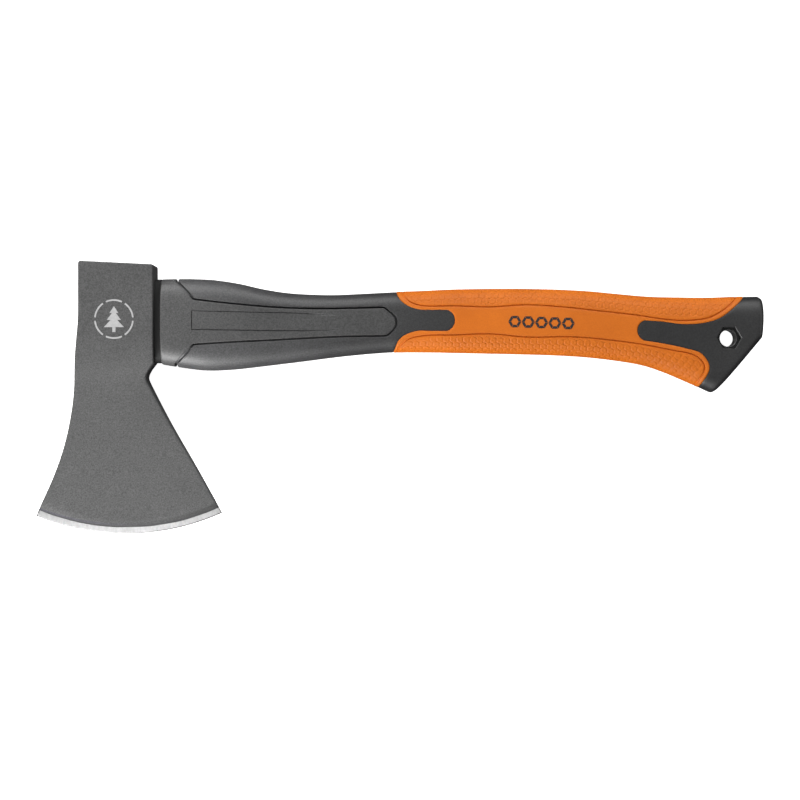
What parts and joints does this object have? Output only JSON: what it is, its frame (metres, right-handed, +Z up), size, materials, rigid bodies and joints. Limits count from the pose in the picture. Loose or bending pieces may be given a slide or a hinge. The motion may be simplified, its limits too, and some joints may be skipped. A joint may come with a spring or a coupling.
{
  "type": "hand axe",
  "caption": "Short hand axe with a coated steel head, a moulded fibreglass-core handle, an orange soft grip and a hanging hole in a slanted pommel.",
  "frame": {"origin": "on the surface the axe lies on, under the middle of its bounding box; the axe lies flat on one cheek", "axes": "+X along the handle from the head to the pommel, +Y from the cutting edge to the poll, +Z up, across the thickness of the blade"},
  "size_m": [0.3626, 0.1358, 0.028],
  "materials": {
    "head_coating": "matte, fine speckle",
    "ground_edge": "ground across the edge",
    "sheath_grey": "satin, fine grain",
    "shell_dark": "satin, fine grain",
    "grip_orange": "soft matte",
    "spacer_black": "matte",
    "core_fibreglass": "pultruded, fine lengthwise lines",
    "eye_epoxy": "glossy, slightly uneven",
    "cap_black": "satin",
    "print_light": "printed ink",
    "print_dark": "printed ink"
  },
  "bodies": {
    "root": {"axe_head": "head_coating", "eye_cap": "cap_black", "eye_resin": "eye_epoxy", "shoulder_spacer": "spacer_black", "fibreglass_core": "core_fibreglass", "inner_sheath": "sheath_grey", "outer_shell": "shell_dark", "soft_grip": "grip_orange"}
  },
  "joints": []
}
